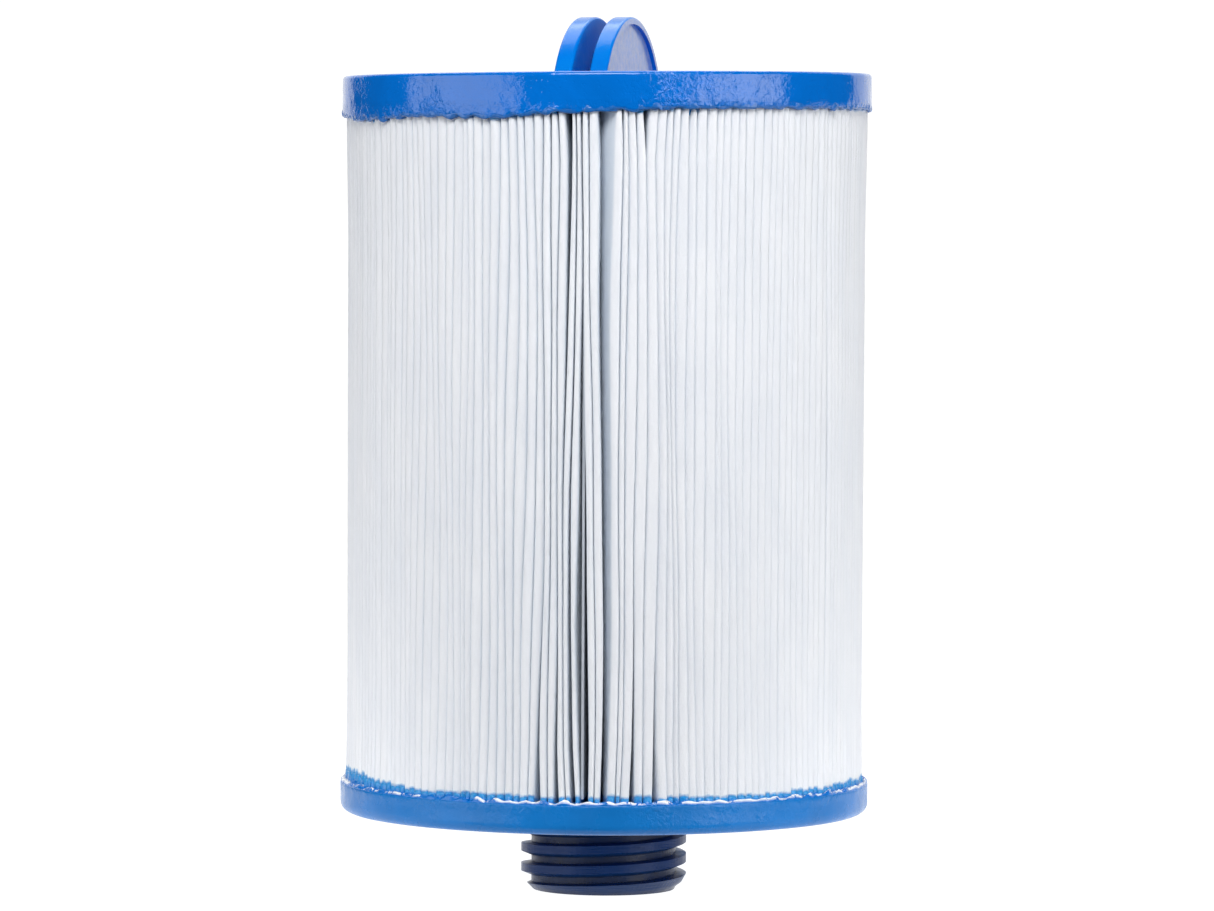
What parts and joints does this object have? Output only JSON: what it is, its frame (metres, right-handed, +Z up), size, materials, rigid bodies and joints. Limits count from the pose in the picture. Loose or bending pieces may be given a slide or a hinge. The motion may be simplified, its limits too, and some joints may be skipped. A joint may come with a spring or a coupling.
{
  "type": "pleated filter cartridge",
  "caption": "Cylindrical pleated filter cartridge with cast end caps, a half-moon lifting handle in a well at the top and a coarse threaded outlet spigot at the bottom.",
  "frame": {"origin": "on the cartridge's axis, at the level of the bottom cap's underside, inside the outlet bore", "axes": "+Z up along the axis from the thread to the handle; the handle's two plates run along Y and face +X and -X"},
  "size_m": [0.1508, 0.1508, 0.2491],
  "materials": {
    "cap_resin": "glossy, slightly wavy cast resin",
    "potting_resin": "glossy cast resin with an uneven wicked edge",
    "handle_plastic": "moulded, satin to gloss",
    "filter_sheet": "non-woven fibre sheet, matt with a faint sheen",
    "seam_glue": "hot-melt glue, satin",
    "core_plastic": "moulded, satin",
    "fitting_plastic": "moulded, satin"
  },
  "bodies": {
    "root": {"top_end_cap": "cap_resin", "top_potting": "potting_resin", "handle": "handle_plastic", "pleated_medium": "filter_sheet", "side_seam": "seam_glue", "core_tube": "core_plastic", "bottom_potting": "potting_resin", "bottom_end_cap": "cap_resin", "threaded_fitting": "fitting_plastic"}
  },
  "joints": []
}
